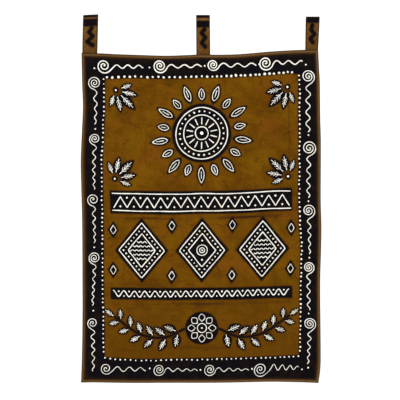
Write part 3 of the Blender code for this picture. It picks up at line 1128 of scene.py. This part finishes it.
def linear(red, green, blue):
    """A colour given as 0 to 255, as the shaders take it."""
    shares = [channel / 255 for channel in (red, green, blue)]
    return tuple(s / 12.92 if s <= 0.04045 else ((s + 0.055) / 1.055) ** 2.4 for s in shares) + (1.0,)


MIX_SHARE, MIX_FIRST, MIX_SECOND, MIX_COLOUR = 0, 6, 7, 2


class Nodes:
    """Short forms for a material's nodes."""

    def __init__(self, name):
        self.material = bpy.data.materials.new(name)
        self.material.use_nodes = True
        self.tree = self.material.node_tree
        self.shader = self.tree.nodes["Principled BSDF"]

    def put(self, socket, value):
        if isinstance(value, bpy.types.NodeSocket):
            self.tree.links.new(value, socket)
        elif value is not None:
            socket.default_value = value

    def add(self, kind, settings=None, **inputs):
        made = self.tree.nodes.new(kind)
        for key, value in (settings or {}).items():
            setattr(made, key, value)
        for key, value in inputs.items():
            self.put(made.inputs[key], value)
        return made

    def sum(self, operation, first, second=None, third=None):
        made = self.add("ShaderNodeMath", {"operation": operation})
        for socket, value in zip(made.inputs, (first, second, third)):
            self.put(socket, value)
        return made.outputs[0]

    def mix(self, share, first, second, blend="MIX"):
        made = self.add("ShaderNodeMix", {"data_type": "RGBA", "blend_type": blend})
        self.put(made.inputs[MIX_SHARE], share)
        self.put(made.inputs[MIX_FIRST], first)
        self.put(made.inputs[MIX_SECOND], second)
        return made.outputs[MIX_COLOUR]

    def between(self, value, low, high):
        """0 at low and 1 at high, with level ends. Low may be the greater."""
        made = self.add("ShaderNodeMapRange", {"interpolation_type": "SMOOTHSTEP"})
        for key, number in (("Value", value), ("From Min", low), ("From Max", high)):
            self.put(made.inputs[key], number)
        return made.outputs[0]

    def value(self, name):
        return self.add("ShaderNodeAttribute", {"attribute_name": name}).outputs["Fac"]

    def flat(self):
        return self.add("ShaderNodeUVMap", {"uv_map": "Cloth"}).outputs[0]

    def scaled(self, vector, across, down):
        made = self.add("ShaderNodeMapping", Vector=vector, Scale=(across, down, 1.0))
        return made.outputs[0]

    def noise(self, vector, scale, detail=3.0, roughness=0.55, distortion=0.0):
        made = self.add(
            "ShaderNodeTexNoise", Vector=vector, Scale=scale, Detail=detail, Roughness=roughness, Distortion=distortion
        )
        return made.outputs[0]


BLACK_DYE = linear(13, 11, 15)
BROWN_BLACK_DYE = linear(24, 16, 11)
STAIN_DYE = linear(48, 20, 11)
# A paler brown for the patch just below each tab's fold
FOLD_PALE_BROWN = linear(132, 96, 62)
RUSTY_DYE = linear(112, 62, 14)
OLIVE_DYE = linear(104, 74, 4)
HALO_DYE = linear(54, 31, 6)
EDGE_SHADE = linear(40, 25, 12)
# Painted highlight on the middle of the hem's rounded roll
HEM_CREST_HIGHLIGHT = linear(128, 98, 62)
WAX_CREAM = linear(237, 234, 223)
WAX_WARM = linear(231, 223, 199)
THREAD_PITCH = 0.5 * MM
# How strongly each inset, in mm, is darkened: painted shade where the edge rolls away and in the hem seam's dip, over
# darker dye there
PANEL_EDGE_SHADE_AND_DYE = ((0.0, 0.80), (1.0, 0.35), (2.4, 0.0), (4.6, 0.0), (6.4, 0.55), (8.4, 0.95), (10.5, 0.0))
TAB_EDGE_SHADE_AND_DYE = ((0.0, 0.90), (1.4, 0.75), (2.6, 0.25), (3.6, 0.0), (5.0, 0.0), (7.0, 0.0), (9.0, 0.0))
EDGE_SPAN = 10.5

# Lines where dye gathered in the cloth's old folds, in flat millimetres
FoldLine = namedtuple("FoldLine", "upright place start end half strength")
FOLD_LINES = (
    FoldLine(upright=True, place=500.5, start=55, end=320, half=3.0, strength=0.60),
    FoldLine(upright=True, place=497.0, start=280, end=600, half=2.2, strength=0.35),
    FoldLine(upright=True, place=88.0, start=180, end=420, half=2.0, strength=0.35),
    FoldLine(upright=False, place=160.0, start=150, end=262, half=2.0, strength=0.50),
    FoldLine(upright=False, place=122.0, start=120, end=226, half=1.8, strength=0.45),
    FoldLine(upright=False, place=98.0, start=180, end=330, half=1.6, strength=0.35),
    FoldLine(upright=False, place=258.0, start=70, end=160, half=2.0, strength=0.40),
    FoldLine(upright=False, place=613.0, start=90, end=400, half=2.2, strength=0.35),
)


def fold_line(n, across, down, line):
    """How strongly an old fold shows, from 0 to its strength."""
    aside, run = (across, down) if line.upright else (down, across)
    off = n.sum("ABSOLUTE", n.sum("SUBTRACT", aside, line.place * MM))
    fade_in = n.between(run, line.start * MM, (line.start + 40) * MM)
    fade_out = n.between(run, line.end * MM, (line.end - 40) * MM)
    near = n.sum("MULTIPLY", n.between(off, line.half * MM, 0.0), n.sum("MULTIPLY", fade_in, fade_out))
    return n.sum("MULTIPLY", near, line.strength)


def cotton(name, dark_brown, light_brown, hem_left, hem_right, hem_share, edges, lower_shade, patch_colour, fold_lines):
    """Wax-resist dyed plain-weave cotton, read from the marks' distances and the flat places."""
    n = Nodes(name)
    flat = n.flat()
    parts = n.add("ShaderNodeSeparateXYZ", Vector=flat)
    dark, wax = n.value("dark"), n.value("wax")
    stain, inset = n.value("stain"), n.value("inset")

    patches = n.noise(flat, 11, detail=4, distortion=0.4)
    blots = n.noise(flat, 45, detail=5, roughness=0.62)
    fine = n.noise(flat, 240, detail=4, roughness=0.65)
    tone = n.sum("ADD", n.sum("MULTIPLY", patches, 0.42), n.sum("MULTIPLY", blots, 0.36))
    tone = n.sum("ADD", tone, n.sum("MULTIPLY", fine, 0.22))
    ground = n.mix(n.between(tone, 0.38, 0.62), dark_brown, light_brown)
    hues = n.add("ShaderNodeTexNoise", Vector=flat, Scale=19, Detail=4, Roughness=0.6).outputs["Color"]
    hue = n.add("ShaderNodeSeparateColor", Color=hues)
    ground = n.mix(n.sum("MULTIPLY", n.between(hue.outputs[0], 0.50, 0.68), 0.55), ground, RUSTY_DYE)
    ground = n.mix(n.sum("MULTIPLY", n.between(hue.outputs[1], 0.52, 0.70), 0.50), ground, OLIVE_DYE)

    bent = n.add("ShaderNodeVectorMath", {"operation": "MULTIPLY_ADD"})
    for socket, value in zip(bent.inputs, (hues, (0.03, 0.03, 0.0), flat)):
        n.put(socket, value)
    upright = n.noise(n.scaled(bent.outputs[0], 75, 6), 1, detail=3, roughness=0.6)
    level = n.noise(n.scaled(bent.outputs[0], 7, 105), 1, detail=3, roughness=0.6)
    streaks = n.sum("MAXIMUM", n.between(upright, 0.56, 0.74), n.between(level, 0.55, 0.72))
    ground = n.mix(n.sum("MULTIPLY", streaks, 0.45), ground, dark_brown)

    cells = n.add("ShaderNodeTexVoronoi", {"feature": "DISTANCE_TO_EDGE"}, Vector=n.scaled(bent.outputs[0], 16, 38), Scale=1)
    vein = n.between(cells.outputs["Distance"], 0.045, 0.0)
    crazed = n.between(n.noise(flat, 34, detail=3), 0.44, 0.62)
    vein = n.sum("MULTIPLY", vein, crazed)
    ground = n.mix(n.sum("MULTIPLY", vein, 0.5), ground, HALO_DYE)

    for line in fold_lines:
        wavering = [n.sum("ADD", parts.outputs[axis], n.sum("MULTIPLY", blots, 0.012)) for axis in ("X", "Y")]
        shown = n.sum("MULTIPLY", fold_line(n, *wavering, line), n.between(fine, 0.32, 0.60))
        ground = n.mix(shown, ground, STAIN_DYE)

    lower = n.between(parts.outputs["Y"], 0.45, 0.80)
    ground = n.mix(n.sum("MULTIPLY", lower, lower_shade), ground, dark_brown)

    hem = n.mix(n.between(parts.outputs["X"], 0.02, 0.30), hem_left, hem_right)
    hem = n.mix(n.sum("MULTIPLY", n.between(fine, 0.40, 0.62), 0.35), hem, EDGE_SHADE)
    # Painted highlight along the middle of the hem's rounded roll, from 1.4 to 5.6 mm in from the fold
    crest_highlight = n.sum("MULTIPLY", n.between(inset, 1.4, 3.0), n.between(inset, 5.6, 4.0))
    hem = n.mix(n.sum("MULTIPLY", crest_highlight, 0.35), hem, HEM_CREST_HIGHLIGHT)
    in_hem = n.sum("MULTIPLY", n.between(inset, 8.2, 6.0), hem_share)
    ground = n.mix(in_hem, ground, hem)
    # Painted shade at the rolled edges and in the seam's dip, together with darker dye there; it fades out on the
    # turned-in back
    ramp = n.add("ShaderNodeValToRGB", Fac=n.sum("DIVIDE", inset, EDGE_SPAN))
    stops = ramp.color_ramp.elements
    for index, (place, shade) in enumerate(edges):
        stop = stops[index] if index < 2 else stops.new(place / EDGE_SPAN)
        stop.position = place / EDGE_SPAN
        stop.color = (shade, shade, shade, 1.0)
    edge_shade = n.sum("MULTIPLY", ramp.outputs["Color"], n.between(inset, -9.0, -2.0))
    ground = n.mix(edge_shade, ground, EDGE_SHADE)

    brush = n.noise(n.scaled(flat, 22, 420), 1, detail=4, roughness=0.7)
    brushed = n.sum("MULTIPLY", stain, n.between(brush, 0.36, 0.62))
    brushed = n.sum("MAXIMUM", brushed, n.between(stain, 0.45, 0.75))
    ground = n.mix(n.sum("MULTIPLY", brushed, n.between(stain, 0.02, 0.3)), ground, patch_colour)

    bleed = n.noise(flat, 700, detail=3, roughness=0.7)
    wander = n.sum("SUBTRACT", bleed, 0.5)
    dark_at = n.sum("ADD", dark, n.sum("MULTIPLY", wander, 1.1))
    halo = n.between(dark_at, 3.4, 0.2)
    ground = n.mix(n.sum("MULTIPLY", halo, 0.72), ground, HALO_DYE)
    black = n.mix(n.between(blots, 0.44, 0.68), BLACK_DYE, BROWN_BLACK_DYE)
    near_hem = n.sum("MULTIPLY", n.between(inset, 14.0, 8.0), n.between(blots, 0.30, 0.55))
    black = n.mix(n.sum("MULTIPLY", near_hem, 0.6 * hem_share), black, EDGE_SHADE)
    colour = n.mix(n.between(dark_at, 0.4, -0.4), ground, black)

    swell = n.sum("SUBTRACT", n.between(n.noise(flat, 62, detail=2), 0.32, 0.68), 0.5)
    wax_at = n.sum("ADD", n.sum("ADD", wax, n.sum("MULTIPLY", wander, 0.3)), n.sum("MULTIPLY", swell, 0.42))
    cream = n.mix(n.between(patches, 0.52, 0.72), WAX_CREAM, WAX_WARM)
    cream = n.mix(n.sum("MULTIPLY", vein, 0.2), cream, HALO_DYE)
    shown = n.between(wax_at, 0.1, -0.1)
    colour = n.mix(shown, colour, cream)

    pitch = math.tau / THREAD_PITCH
    warp = n.sum("SINE", n.sum("MULTIPLY", parts.outputs["X"], pitch))
    weft = n.sum("SINE", n.sum("MULTIPLY", parts.outputs["Y"], pitch))
    crossing = n.sum("MULTIPLY", warp, weft)
    slub_across = n.noise(n.scaled(flat, 90, 1900), 1, detail=2)
    slub_down = n.noise(n.scaled(flat, 1900, 90), 1, detail=2)
    slubs = n.sum("ADD", slub_across, slub_down)
    # Slubs vary the threads' own tone; the crossing term is painted shade between the threads
    shade = n.sum("ADD", n.sum("MULTIPLY", slubs, 0.38), n.sum("MULTIPLY", crossing, 0.08))
    grey = n.add("ShaderNodeCombineColor", Red=shade, Green=shade, Blue=shade).outputs[0]
    lift = n.mix(1.0, grey, (0.62, 0.62, 0.62, 1.0), blend="ADD")
    colour = n.mix(1.0, colour, lift, blend="MULTIPLY")
    n.put(n.shader.inputs["Base Color"], colour)

    creases = n.noise(flat, 70, detail=5, roughness=0.6, distortion=0.8)
    height = n.sum("ADD", n.sum("MULTIPLY", crossing, 0.05), n.sum("MULTIPLY", slubs, 0.08))
    height = n.sum("ADD", height, n.sum("MULTIPLY", creases, 0.7))
    height = n.sum("SUBTRACT", height, n.sum("MULTIPLY", vein, 0.08))
    bump = n.add("ShaderNodeBump", Strength=0.7, Distance=MM, Height=height)
    n.put(n.shader.inputs["Normal"], bump.outputs[0])

    rough = n.sum("ADD", 0.82, n.sum("MULTIPLY", slubs, 0.10))
    n.put(n.shader.inputs["Roughness"], n.sum("SUBTRACT", rough, n.sum("MULTIPLY", shown, 0.08)))
    n.put(n.shader.inputs["Specular IOR Level"], 0.02)
    n.put(n.shader.inputs["Sheen Weight"], 0.01)
    n.put(n.shader.inputs["Sheen Roughness"], 0.5)
    n.put(n.shader.inputs["Sheen Tint"], linear(200, 170, 130))
    return n.material


def thread_material():
    n = Nodes("stitching_thread")
    place = n.add("ShaderNodeTexCoord").outputs["Object"]
    twist = n.noise(place, 900, detail=3)
    n.put(n.shader.inputs["Base Color"], n.mix(twist, linear(44, 28, 14), linear(74, 48, 24)))
    n.put(n.shader.inputs["Roughness"], n.sum("ADD", 0.6, n.sum("MULTIPLY", twist, 0.25)))
    n.put(n.shader.inputs["Specular IOR Level"], 0.25)
    return n.material


# Machine stitches, in millimetres
STITCH_PITCH = 2.9
STITCH_LENGTH = 2.45
STITCH_HALF = 0.17
STITCH_SIDES = 5
STITCH_RINGS = (
    (-0.50, 0.35, -0.6),
    (-0.36, 0.95, 0.5),
    (0.00, 1.10, 0.9),
    (0.36, 0.95, 0.5),
    (0.50, 0.35, -0.6),
)


class Stitching:
    """Rows of thread laid on the hung cloth and joined into one mesh."""

    def __init__(self):
        self.points = []
        self.faces = []

    def one(self, place, ahead, out):
        aside = np.cross(ahead, out)
        first = len(self.points)
        for share, girth, lift in STITCH_RINGS:
            middle = place + ahead * share * STITCH_LENGTH * MM + out * lift * STITCH_HALF * MM
            for k in range(STITCH_SIDES):
                turn = math.tau * k / STITCH_SIDES
                spoke = aside * math.cos(turn) + out * math.sin(turn)
                self.points.append(middle + spoke * girth * STITCH_HALF * MM)
        for ring in range(len(STITCH_RINGS) - 1):
            for k in range(STITCH_SIDES):
                a = first + ring * STITCH_SIDES + k
                b = first + ring * STITCH_SIDES + (k + 1) % STITCH_SIDES
                self.faces.append((a, b, b + STITCH_SIDES, a + STITCH_SIDES))
        ends = (first, first + (len(STITCH_RINGS) - 1) * STITCH_SIDES)
        self.faces.append(tuple(range(ends[0], ends[0] + STITCH_SIDES))[::-1])
        self.faces.append(tuple(range(ends[1], ends[1] + STITCH_SIDES)))

    def row(self, line, hang_at, surface, side=1):
        """Stitches along a flat line, on the cloth's front or, with side -1, on its back."""
        line = resampled(line, STITCH_PITCH * MM / 2)
        heights = surface(line)
        on = hang_at(line[:, 0], line[:, 1], heights)
        above = hang_at(line[:, 0], line[:, 1], heights + side * MM)
        for i in range(1, len(line) - 1, 2):
            ahead = on[i + 1] - on[i - 1]
            ahead /= np.linalg.norm(ahead)
            out = above[i] - on[i]
            out -= ahead * (out @ ahead)
            out /= np.linalg.norm(out)
            self.one(on[i], ahead, out)

    def build(self, name, material):
        mesh = bpy.data.meshes.new(name)
        mesh.from_pydata([tuple(point) for point in self.points], [], self.faces)
        mesh.shade_smooth()
        mesh.materials.append(material)
        made = bpy.data.objects.new(name, mesh)
        bpy.context.scene.collection.objects.link(made)
        return made


HEM_SEAM = 7.0 * MM
HEM_BACK_AT_SEAM = -1.42 * MM
TAB_SEAM = 2.3 * MM
TAB_SEAM_OUT = -0.14 * MM
TAB_BOX = (1.8 * MM, 7.0 * MM)


def rectangle(left, top, right, bottom):
    return np.array(((left, top), (right, top), (right, bottom), (left, bottom), (left, top)))


def hem_front(line):
    inset = inset_at(line, (PANEL_WIDTH, PANEL_HEIGHT), TOP_HEM_SHARE)
    return along(HEM_FRONT, inset / MM) * MM


def build_hem_stitches(material):
    sewing = Stitching()
    seam_below_top = HEM_SEAM / TOP_HEM_SHARE
    seam = rectangle(HEM_SEAM, seam_below_top, PANEL_WIDTH - HEM_SEAM, PANEL_HEIGHT - HEM_SEAM)
    sewing.row(seam, hang, hem_front)
    sewing.row(seam, hang, lambda line: np.full(len(line), HEM_BACK_AT_SEAM), side=-1)
    for tab in TABS:
        middle = (tab.middle * MM + PANEL_WIDTH / 2) * 1.0
        half = (tab.base_width / 2) * MM - TAB_SEAM
        left = max(middle - half, HEM_SEAM)
        right = min(middle + half, PANEL_WIDTH - HEM_SEAM)
        sewing.row(np.array(((left, TAB_BOX[0]), (right, TAB_BOX[0]))), hang, hem_front)
    return sewing.build("hem_stitches", material)


def build_tab_stitches(strips, material):
    sewing = Stitching()
    for strip in strips:
        low, high = TAB_SEAM, strip.width - TAB_SEAM
        for across in (low, high):
            line = np.array(((across, 2 * MM), (across, strip.length - 2 * MM)))
            sewing.row(line, strip.hang, lambda line: np.full(len(line), TAB_SEAM_OUT))
        for below in TAB_BOX:
            run = strip.length - (SEWN_BELOW_EDGE - below)
            line = np.array(((low, run), (high, run)))
            sewing.row(line, strip.hang, lambda line: np.zeros(len(line)))
    return sewing.build("tab_stitches", material)


def look_at(item, target):
    item.rotation_mode = "QUATERNION"
    item.rotation_quaternion = (Vector(target) - item.location).to_track_quat("-Z", "Y")


# The photograph's frame, in its pixels and at its scale
PHOTO_PIXELS = 400
MM_PER_PIXEL = 2.39
MIDDLE_LINE_PIXEL = 201.25
ROD_LINE_PIXEL = 15.2
LENS, SENSOR = 110.0, 36.0
FLOOR_GAP = 450 * MM
WORLD_LIGHT = 1.12


def stage():
    low, high = cad_low, cad_high
    middle = (low + high) / 2
    bpy.ops.mesh.primitive_plane_add(size=14, location=(0, 0, low.z - FLOOR_GAP))
    floor = bpy.context.object
    floor.name = "floor"
    n = Nodes("pale_floor")
    tint = n.noise(n.add("ShaderNodeTexCoord").outputs["Object"], 3, detail=2)
    n.put(n.shader.inputs["Base Color"], n.mix(tint, (0.90, 0.90, 0.90, 1), (0.93, 0.93, 0.925, 1)))
    n.put(n.shader.inputs["Roughness"], 0.9)
    n.put(n.shader.inputs["Specular IOR Level"], 0.1)
    floor.data.materials.append(n.material)

    world = bpy.data.worlds.new("studio")
    world.use_nodes = True
    world.node_tree.nodes["Background"].inputs["Color"].default_value = (1, 1, 1, 1)
    world.node_tree.nodes["Background"].inputs["Strength"].default_value = WORLD_LIGHT
    bpy.context.scene.world = world
    bpy.context.scene.view_settings.view_transform = "Standard"

    for name, place, size, power in (
        ("key", (-1.5, -2.4, 0.9), 1.4, 26),
        ("rim", (1.6, 1.9, 0.6), 1.2, 14),
    ):
        lamp = bpy.data.lights.new(name, "AREA")
        lamp.size = size
        lamp.energy = power
        item = bpy.data.objects.new(name, lamp)
        item.location = place
        bpy.context.scene.collection.objects.link(item)
        look_at(item, middle)

    lens = bpy.data.cameras.new("camera")
    lens.lens, lens.sensor_width = LENS, SENSOR
    camera = bpy.data.objects.new("camera", lens)
    across = (PHOTO_PIXELS / 2 - MIDDLE_LINE_PIXEL) * MM_PER_PIXEL * MM
    down = (PHOTO_PIXELS / 2 - ROD_LINE_PIXEL) * MM_PER_PIXEL * MM
    distance = PHOTO_PIXELS * MM_PER_PIXEL * MM * LENS / SENSOR
    camera.location = (across, PANEL_Y - distance, -down)
    bpy.context.scene.collection.objects.link(camera)
    look_at(camera, (across, PANEL_Y, -down))
    bpy.context.scene.camera = camera


def main():
    thread = thread_material()
    panel_cotton = cotton(
        "panel_cotton",
        dark_brown=linear(84, 51, 3),
        light_brown=linear(108, 69, 6),
        hem_left=linear(73, 50, 25),
        hem_right=linear(85, 63, 36),
        hem_share=0.9,
        edges=PANEL_EDGE_SHADE_AND_DYE,
        lower_shade=0.75,
        patch_colour=STAIN_DYE,
        fold_lines=FOLD_LINES,
    )
    tab_cotton = cotton(
        "tab_cotton",
        dark_brown=linear(76, 49, 17),
        light_brown=linear(110, 77, 37),
        hem_left=linear(96, 66, 28),
        hem_right=linear(96, 66, 28),
        hem_share=0.0,
        edges=TAB_EDGE_SHADE_AND_DYE,
        lower_shade=0.0,
        patch_colour=FOLD_PALE_BROWN,
        fold_lines=(),
    )

    panel = cloth_mesh(
        "panel_cloth",
        (PANEL_WIDTH, PANEL_HEIGHT),
        panel_design(),
        hang,
        HEM_FRONT,
        HEM_BACK,
        PANEL_STATION,
        (PANEL_GRID, PANEL_GRID),
        TOP_HEM_SHARE,
    )
    panel.data.materials.append(panel_cotton)
    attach(panel, "root")
    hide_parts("panel")

    strips, cloths = [], []
    for index, tab in enumerate(TABS):
        strip = Strip(tab)
        butt = Profile(strip.width / 2 / MM - TAB_BUTT_GAP / MM, TAB_BACK[-1].out)
        design = tab_design(strip, TAB_PAINT[tab.name], SEED + 1 + index)
        cloth = cloth_mesh(
            tab.name + "_cloth",
            (strip.width, strip.length),
            design,
            strip.hang,
            TAB_FRONT,
            TAB_BACK + (butt,),
            TAB_STATION,
            (TAB_GRID_ACROSS, TAB_GRID_ALONG),
        )
        cloth.data.materials.append(tab_cotton)
        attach(cloth, "root")
        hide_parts(tab.name)
        strips.append(strip)
        cloths.append(cloth)

    hem_stitches = build_hem_stitches(thread)
    tab_stitches = build_tab_stitches(strips, thread)
    for sewing in (hem_stitches, tab_stitches):
        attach(sewing, "root")

    stage()


main()
